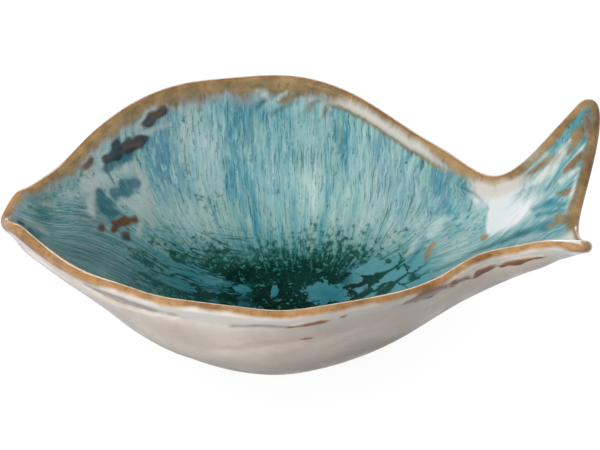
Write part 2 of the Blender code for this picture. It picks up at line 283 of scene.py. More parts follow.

# Slip strokes of the head, the flank and the tail, as a potter trails them, and one painted highlight on the
# tail:
# how far each stands proud, then spots on the wall, each a place along the fish, a share of the half width
# and the half width of the stroke
STROKES = {
    "brown": (
        (0.0006, (-0.0668, 0.945, 0.0024), (-0.0631, 0.958, 0.0026), (-0.0590, 0.968, 0.0018)),
        (0.0007, (-0.0831, 0.866, 0.0022), (-0.0785, 0.882, 0.0034), (-0.0730, 0.888, 0.0032),
         (-0.0676, 0.892, 0.0020)),
        (0.0005, (-0.0795, 0.915, 0.0022), (-0.0785, 0.922, 0.0020)),
        (0.0003, (-0.0915, 0.905, 0.0016), (-0.0890, 0.915, 0.0014)),
        (0.0005, (-0.0803, 0.370, 0.0012), (-0.0788, 0.431, 0.0022), (-0.0755, 0.480, 0.0022),
         (-0.0715, 0.503, 0.0014)),
        (0.0006, (-0.0756, 0.345, 0.0022), (-0.0751, 0.345, 0.0022)),
        (0.0004, (-0.0845, 0.374, 0.0017), (-0.0841, 0.390, 0.0015)),
        (0.0003, (-0.1165, 0.150, 0.0013), (-0.1150, 0.150, 0.0010)),
        (0.0005, (0.0548, 0.499, 0.0007), (0.0527, 0.421, 0.0016), (0.0517, 0.363, 0.0010)),
        (0.0005, (0.0003, 0.990, 0.0012), (-0.0056, 0.974, 0.0014), (-0.0114, 0.960, 0.0009)),
        (0.0004, (-0.0080, 0.996, 0.0012), (-0.0128, 0.982, 0.0011), (-0.0142, 0.980, 0.0008)),
        (0.0003, (0.0037, 0.968, 0.0007), (0.0068, 0.976, 0.0005)),
        (0.0004, (0.0742, 0.560, 0.0011), (0.0755, 0.580, 0.0011)),
        (0.0005, (0.0892, 0.960, 0.0006), (0.0951, 0.934, 0.0012), (0.1023, 0.880, 0.0009)),
        (0.0005, (0.1072, 0.780, 0.0008), (0.1120, 0.820, 0.0018), (0.1155, 0.860, 0.0022)),
        (0.0005, (0.1068, 0.640, 0.0008), (0.1099, 0.630, 0.0014), (0.1135, 0.640, 0.0020)),
        (0.0004, (0.1034, 0.505, 0.0008), (0.1068, 0.410, 0.0013), (0.1085, 0.420, 0.0013)),
        (0.0003, (0.1000, 0.150, 0.0008), (0.1045, 0.110, 0.0024), (0.1075, 0.060, 0.0028)),
        (0.0, (0.1150, 0.950, 0.0010), (0.1165, 0.800, 0.0012), (0.1145, 0.600, 0.0009),
         (0.1114, 0.400, 0.0007), (0.1085, 0.200, 0.0011), (0.1070, 0.000, 0.0013)),
    ),
    "teal": (
        (-0.0004, (-0.0830, 0.815, 0.0020), (-0.0790, 0.830, 0.0028), (-0.0725, 0.850, 0.0020)),
        (-0.0004, (-0.0794, 0.663, 0.0030), (-0.0759, 0.685, 0.0042), (-0.0724, 0.712, 0.0036)),
        (-0.0004, (-0.0852, 0.655, 0.0030), (-0.0833, 0.591, 0.0044), (-0.0800, 0.515, 0.0030)),
        (-0.0003, (-0.1120, 0.050, 0.0016), (-0.1090, 0.020, 0.0014)),
        (-0.0003, (0.0510, 0.505, 0.0002), (0.0482, 0.419, 0.0006), (0.0441, 0.323, 0.0004)),
        (-0.0003, (0.0889, 0.355, 0.0001), (0.0810, 0.455, 0.0005), (0.0710, 0.403, 0.0007),
         (0.0603, 0.236, 0.0006), (0.0544, 0.174, 0.0003)),
        (-0.0003, (0.0651, 0.918, 0.0002), (0.0705, 0.914, 0.0006), (0.0735, 0.880, 0.0001)),
        (-0.0002, (-0.0173, 0.966, 0.0007), (-0.0197, 0.950, 0.0007)),
        (-0.0002, (-0.0102, 0.950, 0.0005), (-0.0130, 0.936, 0.0006)),
        (-0.0003, (0.0990, 0.640, 0.0005), (0.1044, 0.705, 0.0007), (0.1106, 0.740, 0.0005)),
        (-0.0003, (0.0944, 0.560, 0.0012), (0.1013, 0.440, 0.0022), (0.1060, 0.300, 0.0016)),
        (-0.0003, (0.0960, 0.440, 0.0010), (0.1020, 0.320, 0.0018), (0.1055, 0.230, 0.0014)),
        (-0.0003, (0.0810, 0.441, 0.0006), (0.0889, 0.387, 0.0012), (0.0992, 0.176, 0.0026),
         (0.1060, 0.080, 0.0020)),
    ),
    "pale": (
        (-0.0003, (-0.0715, 0.935, 0.0016), (-0.0675, 0.960, 0.0022), (-0.0630, 0.980, 0.0014)),
        (-0.0003, (-0.0750, 0.905, 0.0012), (-0.0680, 0.915, 0.0018), (-0.0570, 0.925, 0.0012)),
        (-0.0003, (-0.0865, 0.850, 0.0019), (-0.0815, 0.890, 0.0019)),
        (0.0003, (-0.0785, 0.800, 0.0020), (-0.0725, 0.785, 0.0030), (-0.0690, 0.730, 0.0030),
         (-0.0672, 0.620, 0.0026), (-0.0645, 0.500, 0.0018)),
        (0.0003, (-0.0785, 0.596, 0.0010), (-0.0745, 0.625, 0.0016), (-0.0705, 0.598, 0.0018),
         (-0.0685, 0.513, 0.0016), (-0.0703, 0.400, 0.0010)),
        (0.0003, (-0.0885, 0.700, 0.0026), (-0.0890, 0.600, 0.0020), (-0.0880, 0.500, 0.0014)),
        (0.0003, (-0.0925, 0.760, 0.0030), (-0.0850, 0.760, 0.0034)),
        (0.0002, (-0.1140, 0.400, 0.0010), (-0.1080, 0.320, 0.0014), (-0.1050, 0.250, 0.0010)),
        (0.0003, (0.0593, 0.693, 0.0014), (0.0561, 0.635, 0.0028), (0.0534, 0.569, 0.0018)),
        (0.0003, (0.0489, 0.543, 0.0006), (0.0460, 0.460, 0.0014), (0.0434, 0.383, 0.0008)),
        (0.0, (0.0806, 0.551, 0.0003), (0.0689, 0.471, 0.0007), (0.0589, 0.339, 0.0005)),
        (-0.0003, (-0.0194, 0.984, 0.0012), (-0.0165, 0.978, 0.0019), (-0.0149, 0.972, 0.0010)),
        (-0.0003, (-0.0069, 0.984, 0.0006), (-0.0107, 0.970, 0.0008), (-0.0149, 0.960, 0.0004)),
        (-0.0003, (0.0903, 0.862, 0.0012), (0.0986, 0.818, 0.0024), (0.1048, 0.846, 0.0018),
         (0.1082, 0.868, 0.0006)),
        (0.0, (0.0896, 0.985, 0.0004), (0.0941, 0.985, 0.0006), (0.0992, 0.965, 0.0005)),
        (-0.0002, (0.1050, 0.680, 0.0005), (0.1110, 0.700, 0.0008), (0.1150, 0.720, 0.0004)),
        (-0.0002, (0.1048, 0.581, 0.0010), (0.1092, 0.577, 0.0012), (0.1120, 0.570, 0.0008)),
        # A painted highlight down the end of the tail, not a slip stroke:
        (0.0, (0.1128, 0.560, 0.0002), (0.1108, 0.460, 0.0008), (0.1094, 0.349, 0.0013),
         (0.1084, 0.290, 0.0006)),
    ),
}
RIPPLE = 0.16
RIPPLES_PER_METRE = np.array([(900.0, 500.0, 0.0), (-300.0, 1300.0, 700.0)])

# The outside, in the same way: ridges that wear the glaze thin, folds left by the potter's thumb with
# painted shade laid in them, a brown wash, and dents, which have no colour of their own
RIDGES = {
    "rust": (
        (0.0006, (-0.0066, -0.982, 0.0004), (-0.0010, -0.986, 0.0011), (0.0045, -0.986, 0.0015),
         (0.0093, -0.986, 0.0005)),
        (0.0005, (-0.0021, -0.928, 0.0002), (0.0003, -0.928, 0.0008), (0.0027, -0.926, 0.0004)),
        (0.0003, (0.0137, -0.990, 0.0008), (0.0145, -0.990, 0.0008)),
        (0.0008, (0.0544, -0.990, 0.0012), (0.0586, -0.978, 0.0019), (0.0632, -0.962, 0.0012)),
        (0.0009, (0.0640, -0.960, 0.0014), (0.0682, -0.948, 0.0023), (0.0734, -0.950, 0.0015)),
        (0.0009, (0.0779, -0.944, 0.0012), (0.0851, -0.930, 0.0019), (0.0934, -0.916, 0.0006)),
    ),
    "fold_and_shade": (
        (-0.0003, (-0.0269, -0.972, 0.0006), (-0.0159, -0.984, 0.0010), (-0.0066, -0.982, 0.0008)),
        (-0.0016, (-0.0869, -0.990, 0.0008), (-0.0811, -0.968, 0.0018), (-0.0756, -0.954, 0.0028),
         (-0.0683, -0.960, 0.0028), (-0.0614, -0.972, 0.0020), (-0.0480, -0.976, 0.0006)),
    ),
    "wash": (
        (0.0, (0.0155, -0.990, -0.0008), (0.0258, -0.980, -0.0004), (0.0355, -0.985, 0.0002),
         (0.0430, -0.995, 0.0026), (0.0489, -0.995, 0.0034), (0.0535, -0.990, 0.0014)),
    ),
    "dent": (
        (-0.0007, (-0.0300, -0.868, 0.0010), (-0.0132, -0.912, 0.0020), (0.0010, -0.926, 0.0010)),
        (-0.0007, (0.0040, -0.905, 0.0010), (0.0180, -0.922, 0.0018), (0.0300, -0.930, 0.0010)),
    ),
}
COLOURED_KINDS = 3
STROKE_EDGES = {"brown": 0.0013, "teal": 0.0019, "pale": 0.0017, "rust": 0.0011, "fold_and_shade": 0.0011,
                "wash": 0.0011, "dent": 0.0045}

# The stage. Softboxes: name, the setting of its power, width, height, place, what it points at, and
# whether the glaze mirrors it. Those that the glaze mirrors light nothing.
SOFTBOXES = (
    ("key_softbox", "key", 0.9, 0.9, (-0.75, -0.55, 0.95), (0.0, 0.0, 0.04), False),
    ("top_fill", "top", 1.2, 1.2, (0.0, 0.0, 1.3), (0.0, 0.0, 0.0), False),
    ("low_softbox", "low", 0.8, 0.5, (-0.28, -1.0, 0.65), (0.0, 0.0, 0.04), False),
    ("left_fill", "fill", 0.8, 0.6, (-0.75, 0.85, 0.55), (0.0, 0.0, 0.04), False),
    ("right_fill", "fill", 0.8, 0.6, (0.75, 0.85, 0.55), (0.0, 0.0, 0.04), False),
    ("glare_window", "glare", 0.30, 0.40, (-0.50, -0.90, 0.56), (0.05, 0.0, 0.05), True),
    ("back_strip", "back", 1.4, 0.30, (0.1, 1.0, 0.33), (0.0, 0.0, 0.06), True),
)
STAGE_REACH = 3
SQUARE = ((-1, -1), (1, -1), (1, 1), (-1, 1))
CAMERA_PLACE = (0.0, -0.8426, 0.7447)
CAMERA_AIM = (-0.00174, 0.00735, 0.0464)
CAMERA_LENS = 162.8
CAMERA_SENSOR = 36.0
CAMERA_NEAR = 0.05
WHITE = (1.0, 1.0, 1.0, 1.0)
FLOOR_ROUGHNESS = 0.9
FLOOR_SPECULAR = 0.1
FLOOR_GRAIN = 0.97
FLOOR_GLOW = 0.92
HORIZON = (0.05, 0.35)


def srgb(red, green, blue):
    """A display colour out of 255 as the linear colour that a shader takes."""
    shares = np.array((red, green, blue)) / 255
    return tuple(np.where(shares <= 0.04045, shares / 12.92, ((shares + 0.055) / 1.055) ** 2.4))


def colour(name, description, red, green, blue):
    return bpy.props.FloatVectorProperty(name=name, description=description, subtype="COLOR", size=3,
                                         min=0.0, max=1.0, default=srgb(red, green, blue))


def length(name, description, default):
    return bpy.props.FloatProperty(name=name, description=description, default=default, unit="LENGTH",
                                   precision=5)


def power(name, description, default):
    return bpy.props.FloatProperty(name=name, description=description, default=default, unit="POWER")


class BowlShape(bpy.types.PropertyGroup):
    """Sizes of the hand-made details."""
    wobble: bpy.props.FloatProperty(name="Wobble", default=1.0, subtype="FACTOR",
                                    description="How far the hand-pinched rim strays up and down")
    pinch_depth: length("Pinch depth", "Depth of the pinch marks on the outside", 0.0048)
    ray_count: bpy.props.FloatProperty(name="Fin rays", default=9.0,
                                       description="Rays across the tail fin")
    ray_height: length("Ray height", "Height of the tail fin's rays", 0.0007)
    stroke_pitch: length("Back stroke pitch", "Distance between the strokes of the back fin", 0.0078)
    stroke_height: length("Back stroke height", "Height of the strokes of the back fin", 0.0005)
    pool_depth: length("Pool depth", "Depth of the run glaze in the well", 0.0021)


class BowlColours(bpy.types.PropertyGroup):
    """Colours of the clay and the glazes."""
    # Also laid on the outside as painted shade, from the middle towards the tail and towards the foot.
    clay: colour("Clay", "Bare stoneware", 138, 120, 103)
    olive: colour("Olive", "Iron glaze inside the lip", 128, 110, 74)
    bronze: colour("Bronze", "Iron glaze where it meets the inner glaze", 94, 96, 68)
    ochre: colour("Ochre", "Iron glaze on the lip", 160, 112, 66)
    rust: colour("Rust", "Iron glaze where it pools", 92, 60, 36)
    umber: colour("Umber", "Iron that shows through the outer glaze", 112, 60, 22)
    honey: colour("Honey", "Iron glaze where it is thin", 204, 166, 118)
    veil: colour("Veil", "Iron glaze where it fades into the inner glaze", 154, 150, 152)
    frost: colour("Frost", "Palest streaks of the inner glaze", 188, 211, 206)
    sage: colour("Sage", "Greenish streaks of the inner glaze", 152, 186, 174)
    ice: colour("Ice", "Pale streaks of the inner glaze", 138, 184, 188)
    celadon: colour("Celadon", "Body of the inner glaze", 94, 157, 165)
    teal: colour("Teal", "Deeper streaks of the inner glaze", 42, 128, 142)
    turquoise: colour("Turquoise", "Inner glaze run into the tail's grooves", 24, 134, 150)
    slate: colour("Slate", "Blue streaks of the inner glaze", 76, 130, 154)
    deep: colour("Deep teal", "Darkest streaks of the inner glaze", 18, 84, 98)
    # Painted shade on the inner glaze.
    dusk_shade: colour("Dusk", "Shaded floor of the head", 54, 101, 104)
    fern: colour("Fern", "Inner glaze where it thins out to the pool", 58, 130, 122)
    moss: colour("Moss", "Specks round the pool", 10, 76, 66)
    emerald: colour("Emerald", "Pool of run glaze", 2, 56, 47)
    pine: colour("Pine", "Darkest depth of the pool", 0, 32, 26)
    lagoon: colour("Lagoon", "Islands in the pool", 46, 128, 140)
    ink: colour("Ink", "Slip strokes where they are thick", 44, 56, 62)
    # Thick pale glaze, painted near white as a highlight at the tail's stalk, and as the painted reflection
    # inside the far lip.
    milk_highlight: colour("Milk", "Thick glaze under the lip and at the tail's stalk", 228, 229, 229)
    cream: colour("Cream", "Outer glaze", 246, 234, 222)
    greige: colour("Greige", "Outer glaze where it is thin", 226, 213, 201)
    # Laid as painted shade in the folds, and at the edge of the brown wash.
    mauve_and_shade: colour("Mauve", "Outer glaze in the folds", 134, 116, 113)
    mist: colour("Mist", "White glaze under the lip outside", 238, 234, 227)
    floor: colour("Floor", "Studio floor", 100, 100, 100)


class StudioLight(bpy.types.PropertyGroup):
    """Light of the stage."""
    sky: bpy.props.FloatProperty(name="Sky", description="Strength of the even light", default=0.20)
    ceiling: bpy.props.FloatProperty(name="Ceiling", default=0.15,
                                     description="Strength of the dark ceiling that the glaze mirrors")
    key: power("Key", "Power of the large softbox on the left", 5.5)
    top: power("Top", "Power of the overhead fill", 3.9)
    low: power("Low", "Power of the low softbox in front", 8.6)
    glare: power("Glare", "Power of the small window that glints", 0.5)
    back: power("Back", "Power of the strip behind the bowl", 7.0)
    fill: power("Fill", "Power of the two softboxes behind the bowl", 4.4)


def fair_line(places, values):
    """The smoothest curve through the values at the places, straight at both ends."""
    count = len(places)
    span = np.diff(places)
    slope = np.diff(values) / span
    system = np.eye(count)
    bend = np.zeros(count)
    for i in range(1, count - 1):
        system[i, i - 1:i + 2] = span[i - 1], 2 * (span[i - 1] + span[i]), span[i]
        bend[i] = 6 * (slope[i] - slope[i - 1])
    bend = np.linalg.solve(system, bend)

    def line(x):
        i = np.clip(np.searchsorted(places, x) - 1, 0, count - 2)
        on = x - places[i]
        rise = slope[i] - span[i] * (2 * bend[i] + bend[i + 1]) / 6
        return values[i] + on * (rise + on * (bend[i] / 2 + on * (bend[i + 1] - bend[i]) / (6 * span[i])))

    return line


HALF_WIDTH, RIM, KEEL, FULLNESS = (fair_line(SECTIONS[:, 0], SECTIONS[:, k]) for k in range(1, 5))


def unit(vectors):
    return vectors / np.linalg.norm(vectors, axis=-1, keepdims=True)


def smooth_step(low, high, value):
    share = np.clip((value - low) / (high - low), 0, 1)
    return share * share * (3 - 2 * share)


BACK_STRAY, BELLY_STRAY = (fair_line(strays[:, 0], strays[:, 1]) for strays in (BACK_STRAYS, BELLY_STRAYS))


def rim_wobble(x, share):
    """How the hand-pinched rim strays: nothing at the keel, most at the rim."""
    stray = np.where(share > 0, BACK_STRAY(x), BELLY_STRAY(x))
    return bpy.context.scene.bowl_shape.wobble * np.abs(share) ** WOBBLE_FALLOFF * stray


def middle(spot):
    """Points on the middle of the wall. A spot is a place along the fish and a share of the half width."""
    x, share = spot[..., 0], spot[..., 1]
    keel = KEEL(x)
    rise = keel + (RIM(x) - keel) * np.abs(share) ** FULLNESS(x) - FLOOR
    height = FLOOR + (rise + np.hypot(rise, FLOOR_BLEND)) / 2 + rim_wobble(x, share)
    return np.stack([x, share * HALF_WIDTH(x), height], axis=-1)


def slopes(spot):
    """How the middle of the wall moves for a step along the fish and for a step across it."""
    return [(middle(spot + step) - middle(spot - step)) / (2 * SMALL_STEP)
            for step in (np.array([SMALL_STEP, 0.0]), np.array([0.0, SMALL_STEP]))]


def off_middle(spot, distance):
    """Points at a distance from the middle of the wall, counted into the bowl."""
    return middle(spot) + np.asarray(distance)[..., None] * unit(np.cross(*slopes(spot)))


def rim_spots(inset=0.0):
    """A line once round the wall, an inset below the rim: snout, back, tail and belly."""
    nose = np.linspace(-np.pi / 2, np.pi / 2, HEAD_COLUMNS, endpoint=False)
    fork = np.linspace(np.pi / 2, -np.pi / 2, TAIL_COLUMNS, endpoint=False)
    mouth, corner = SNOUT_X + inset + SNOUT_ROUND, TAIL_CORNER_X - inset
    back = np.linspace(mouth, corner + TAIL_SLANT, SIDE_COLUMNS, endpoint=False)
    belly = np.linspace(corner - TAIL_SLANT, mouth, SIDE_COLUMNS, endpoint=False)
    reach = TAIL_SLANT * np.sin(fork) + TAIL_ROUND * np.cos(fork) - FORK_DEPTH * np.cos(fork) ** 3
    x = np.concatenate([mouth - SNOUT_ROUND * np.cos(nose), back, corner + reach, belly])
    side = np.ones(SIDE_COLUMNS)
    share = np.concatenate([np.sin(nose), side, np.sin(fork), -side])
    across = slopes(np.stack([x, np.ones(len(x))], axis=-1))[1]
    return np.stack([x, share * (1 - inset / np.linalg.norm(across, axis=-1))], axis=-1)


def rim_up(rim):
    """The way out of the wall at the rim, square to the rim's run."""
    ring = middle(rim)
    tangent = np.roll(ring, -1, axis=0) - np.roll(ring, 1, axis=0)
    return unit(np.cross(np.cross(*slopes(rim)), tangent))


def ray(start, shares):
    """Rows of spots on straight ways from the start of each column to the middle of the well.

    The shares of the way have a row for each row of spots, and one column or one for each start.
    """
    return start + shares[..., None] * (WELL - start)


def crossing(start, measure, level):
    """The share of each column's way to the well at which a falling measure meets the level."""
    shares = np.linspace(0, 1, CROSSING_STEPS)
    values = measure(ray(start, shares[:, None]))
    return np.array([np.interp(-level, -column, shares) for column in values.T])


def foot_measure(spot):
    """How far out a spot is on the foot's oval, which is 1 on its edge."""
    point = middle(spot)
    return np.hypot((point[..., 0] - WELL[0]) / (FOOT_LENGTH / 2), point[..., 1] / (FOOT_WIDTH / 2))


def lip(rim, radius):
    """Rows round the lip, from the wall's inner side over the top to its outer side."""
    ring = middle(rim)
    up = rim_up(rim)
    side = off_middle(rim, radius) - ring
    turns = np.linspace(0, np.pi, LIP_ROWS + 2)
    return np.array([ring + np.cos(turn) * side + np.sin(turn) * radius * up for turn in turns])


def run_length(rows):
    """The way along each column, from 0 in the first row."""
    steps = np.linalg.norm(np.diff(rows, axis=0), axis=-1)
    return np.concatenate([np.zeros((1, rows.shape[1])), np.cumsum(steps, axis=0)])


def loft(name, rows, fields, poles=None):
    """Skin the rows, each a ring of points: closed on itself, or run out to a pole at both ends.

    Fields hold a value for each point. A pole takes the mean of the ring next to it.
    """
    count, columns = rows.shape[:2]
    rings = np.arange(count if poles is None else count - 1)[:, None] * columns
    here = np.arange(columns)
    there = (here + 1) % columns
    far = (rings + columns) % (count * columns)
    quads = np.stack([rings + here, rings + there, far + there, far + here], axis=-1).reshape(-1, 4).tolist()
    points = rows.reshape(-1, 3)
    if poles is not None:
        first, last = count * columns, count * columns + 1
        points = np.concatenate([points, poles])
        below = (count - 1) * columns
        steps = list(zip(here.tolist(), there.tolist()))
        quads += [(i, first, k) for i, k in steps] + [(below + i, below + k, last) for i, k in steps]
    mesh = bpy.data.meshes.new(name)
    mesh.from_pydata(points.tolist(), [], quads)
    for field, values in fields.items():
        flat = values.reshape(count * columns, -1)
        if poles is not None:
            flat = np.concatenate([flat, [values[end].reshape(columns, -1).mean(0) for end in (0, -1)]])
        vector = flat.shape[1] == 3
        attribute = mesh.attributes.new(field, "FLOAT_VECTOR" if vector else "FLOAT", "POINT")
        attribute.data.foreach_set("vector" if vector else "value", flat.astype(np.float32).ravel())
    piece = bpy.data.objects.new(name, mesh)
    bpy.context.scene.collection.objects.link(piece)
    return piece


def finish_piece(piece, node):
    """Smooth shading with crisp edges, then the piece takes its place in the frame."""
    piece.data.shade_smooth()
    piece.data.set_sharp_from_angle(angle=SHARP_ANGLE)
    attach(piece, BODY)
    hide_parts(node)


class Board:
    """A node tree with short ways to add nodes and feed them."""

    def __init__(self, tree):
        self.tree = tree
        self.shades = bpy.context.scene.bowl_colours

    def feed(self, socket, value):
        if isinstance(value, bpy.types.NodeSocket):
            self.tree.links.new(value, socket)
        elif value is not None:
            socket.default_value = value

    def add(self, kind, *values, **settings):
        """A node whose inputs take the values in order. A socket is linked, and None leaves the input."""
        node = self.tree.nodes.new(kind)
        for key, value in settings.items():
            setattr(node, key, value)
        for socket, value in zip(node.inputs, values):
            self.feed(socket, value)
        return node

    def fill(self, node, inputs):
        """Feed a node's inputs by name."""
        for name, value in inputs.items():
            self.feed(node.inputs[name], value)
        return node.outputs

    def sum(self, operation, first, second=None):
        return self.add("ShaderNodeMath", first, second, operation=operation).outputs[0]

    def plus(self, first, second):
        return self.sum("ADD", first, second)

    def minus(self, first, second):
        return self.sum("SUBTRACT", first, second)

    def times(self, first, second):
        return self.sum("MULTIPLY", first, second)

    def weigh(self, *parts):
        """The sum of values, each times its weight."""
        return functools.reduce(self.plus, [self.times(value, weight) for value, weight in parts])

    def strays(self, *parts):
        """The sum of noises, each taken as a stray to both sides of 0 and times its reach."""
        return self.weigh(*[(self.minus(noise, 0.5), reach) for noise, reach in parts])

    def smooth(self, value, low, high, end=1.0, start=0.0):
        """From start to end, with a soft turn at both, while the value goes from low to high."""
        node = self.add("ShaderNodeMapRange", value, low, high, start, end, interpolation_type="SMOOTHSTEP")
        return node.outputs[0]

    def straight(self, value, low, high, start, end):
        """From start to end in even steps, while the value goes from low to high."""
        return self.add("ShaderNodeMapRange", value, low, high, start, end).outputs[0]

    def spread(self, noise, start, end):
        """From start to end over the range that most of a noise lies in."""
        return self.straight(noise, *NOISE_RANGE, start, end)

    def blend(self, share, first, second):
        return self.plus(first, self.times(share, self.minus(second, first)))

    def vector(self, operation, first, second):
        return self.add("ShaderNodeVectorMath", first, second, operation=operation).outputs[0]

    def split(self, vector):
        return self.add("ShaderNodeSeparateXYZ", vector).outputs

    def join(self, *parts):
        return self.add("ShaderNodeCombineXYZ", *parts).outputs[0]

    def noise(self, place, scale, detail=2.0, roughness=0.5, distortion=0.0, seed=None):
        node = self.add("ShaderNodeTexNoise", place, seed, noise_dimensions="3D" if seed is None else "4D")
        return self.fill(node, {"Scale": scale, "Detail": detail, "Roughness": roughness,
                                "Distortion": distortion})[0]

    def drawn(self, place, per_metre, distortion=0.0):
        """Noise with a scale of its own along each axis."""
        return self.noise(self.vector("MULTIPLY", place, per_metre), 1.0, 3, 0.6, distortion)

    def lay(self, under, over, *shares):
        """One colour over another, as far as all the shares together let it.

        A share is a number or a socket, or a tuple of what a smooth step goes by.
        """
        shares = [self.smooth(*share) if isinstance(share, tuple) else share for share in shares]
        node = self.add("ShaderNodeMix", functools.reduce(self.times, shares), data_type="RGBA",
                        clamp_factor=True)
        self.feed(node.inputs[6], paint(under))
        self.feed(node.inputs[7], paint(over))
        return node.outputs[2]

    def layers(self, tone, *coats):
        """Colours over a first one, from the lowest to the topmost, each followed by its shares."""
        for coat in coats:
            tone = self.lay(tone, *coat)
        return tone

    def ramp(self, value, *stops):
        node = self.add("ShaderNodeValToRGB", value)
        elements = node.color_ramp.elements
        while len(elements) < len(stops):
            elements.new(0.5)
        for element, (place, shade) in zip(elements, stops):
            element.position = place
            element.color = paint(shade)
        return node.outputs[0]

    def attribute(self, name, output="Fac"):
        return self.add("ShaderNodeAttribute", attribute_name=name).outputs[output]


def paint(shade):
    """A colour with its alpha, or a socket as it is."""
    return shade if isinstance(shade, bpy.types.NodeSocket) else (*shade, 1.0)


def new_material(name):
    """An empty material: its board, its place coordinates and its shader."""
    material = bpy.data.materials.new(name)
    material.use_nodes = True
    board = Board(material.node_tree)
    place = board.add("ShaderNodeTexCoord").outputs["Object"]
    return material, board, place, material.node_tree.nodes["Principled BSDF"]


def finish(name, tone_of):
    """A material with the finish of its name, whose colour a function makes from a board and places."""
    gloss_noise, (least, most), bump_noise, depth, specular = FINISHES[name]
    material, board, place, shader = new_material(name)
    bump = board.fill(board.add("ShaderNodeBump"),
                      {"Distance": depth, "Height": board.noise(place, *bump_noise)})
    gloss = board.smooth(board.noise(place, *gloss_noise), *NOISE_RANGE, most, least)
    board.fill(shader, {"Base Color": tone_of(board, place), "Roughness": gloss, "Normal": bump[0],
                        "IOR": GLAZE_IOR, "Specular IOR Level": specular})
    return material


def streaks(board, flow, along, scale, detail=3.0, roughness=0.6, seed=0.0):
    """Noise drawn out along the way that the glaze ran."""
    drawn = board.vector("MULTIPLY", flow, (1.0, 1.0, along))
    return board.noise(board.vector("ADD", drawn, (seed, seed, seed)), scale, detail, roughness)


class Inside:
    """What the inner glaze's colour is read from: the skin's attributes, and noises that follow its run."""

    def __init__(self, board, place):
        self.place = place
        self.x, self.y, _ = board.split(place)
        flow = board.attribute("flow", "Vector")
        self.drop = board.split(flow)[2]
        self.pale, self.blue, self.floor_shade = board.split(board.attribute("tint", "Vector"))
        self.brown, self.teal, self.white = board.split(board.attribute("mark", "Vector"))
        # Trim: the iron band's width, where the painted reflection band lies, and the thick pale glaze with
        # its painted highlight.
        self.band, self.roll, self.milky_highlight = board.split(board.attribute("trim", "Vector"))
        self.gather = board.attribute("gather")
        self.island = board.attribute("island")
        self.fin = board.attribute("fin")
        self.fin_zone = board.attribute("fin_zone")
        warp = board.minus(board.noise(place, 110, 2), 0.5)
        self.flow = board.vector("ADD", flow, board.join(board.times(warp, 0.03), board.times(warp, -0.03)))
        self.clump = streaks(board, self.flow, 2.2, 15, 3, 0.6)
        self.streak = streaks(board, self.flow, 1.2, 46, 4, 0.65)
        self.hair = streaks(board, self.flow, 1.0, 130, 3, 0.7)
        self.grain = board.noise(place, 420, 3, 0.6)


def iron_tone(board, inside):
    """Iron glaze as it breaks over an edge: olive inside, ochre outside, with honey patches, specks and
    painted shade.
    """
    shades = board.shades
    x, drop = inside.x, inside.drop
    back = board.smooth(inside.y, *BACK_SIDE)
    cloud = board.noise(inside.place, 120, 4, 0.6)
    inner = board.ramp(cloud, (0.36, shades.olive), (1.0, shades.honey))
    outer = board.ramp(cloud, (0.32, shades.ochre), (0.80, shades.honey))
    return board.layers(
        inner,
        (shades.bronze, (drop, *BRONZE_DROP, 0.6), (x, *BRONZE_END)),
        (outer, (drop, *LIP_TURN)),
        (shades.rust, (board.noise(inside.place, 75, 3, 0.6), 0.46, 0.76, 0.55)),
        # Painted shade: darker rust on the outer side of the far lip.
        (shades.rust, (drop, *FAR_LIP_SHADE, 0.45), back),
        (shades.honey, (x, *THIN_IRON_START), (x, *THIN_IRON_END, 0.4), back),
        (shades.rust, (board.noise(inside.place, 420, 3, 0.65), 0.54, 0.74, 0.5)),
    )


def wall_tone(board, inside):
    """Streaks that ran down the wall: pale and deep, green and blue, with fine hairs and flecks, and painted
    shade.
    """
    shades = board.shades
    streak, hair = inside.streak, inside.hair
    body = board.weigh((board.noise(inside.place, 24, 2), 0.26), (inside.clump, 0.34), (streak, 0.40),
                       (inside.pale, 0.11), (inside.blue, -0.05))
    tone = board.ramp(body, (0.38, shades.teal), (0.485, shades.celadon), (0.57, shades.ice),
                      (0.70, shades.frost))
    hue = streaks(board, inside.flow, 2.0, 26, 3, 0.65, 3.7)
    hue = board.plus(hue, board.smooth(inside.gather, 1.75, 1.15, 0.10, -0.03))
    bluish = board.plus(board.smooth(hue, 0.47, 0.34, 0.35), board.times(inside.blue, 0.8))
    dusk_shade = board.lay(shades.dusk_shade, shades.veil, (streak, 0.44, 0.66, 0.6))
    chalk = board.lay(shades.frost, shades.veil, 0.35)
    return board.layers(
        tone,
        (shades.sage, (hue, 0.50, 0.68, 0.6)),
        (shades.slate, bluish, (streak, 0.62, 0.44)),
        # Painted shade on the floor of the head and by the near wall.
        (dusk_shade, inside.floor_shade, 0.8),
        (shades.veil, inside.pale, (inside.x, *LILAC_HEAD, 0.7), (streak, 0.38, 0.58)),
        (chalk, board.minus(inside.pale, inside.blue), (inside.clump, 0.40, 0.60, 0.6, 0.15)),
        (shades.deep, (streaks(board, inside.flow, 0.6, 80, 2, 0.5, 7.3), 0.41, 0.31, 0.55)),
        (shades.deep, (hair, 0.46, 0.30, 0.7)),
        (shades.frost, (hair, 0.54, 0.72, 0.5), (inside.gather, 0.9, 1.3)),
        (shades.deep, (streaks(board, inside.flow, 0.7, 240, 2), 0.62, 0.72, 0.4)),
    )


def cell_edge(board, inside):
    """How far it is to the edge of the cells that the pool breaks into towards the tail."""
    warp = board.strays((board.noise(inside.place, 75, 3, 0.6), 2.2))
    drawn = board.vector("MULTIPLY", inside.place, CELLS_PER_METRE)
    cells = board.add("ShaderNodeTexVoronoi", board.vector("ADD", drawn, board.join(warp, warp)),
                      feature="DISTANCE_TO_EDGE")
    return board.fill(cells, {"Scale": 1.0})["Distance"]


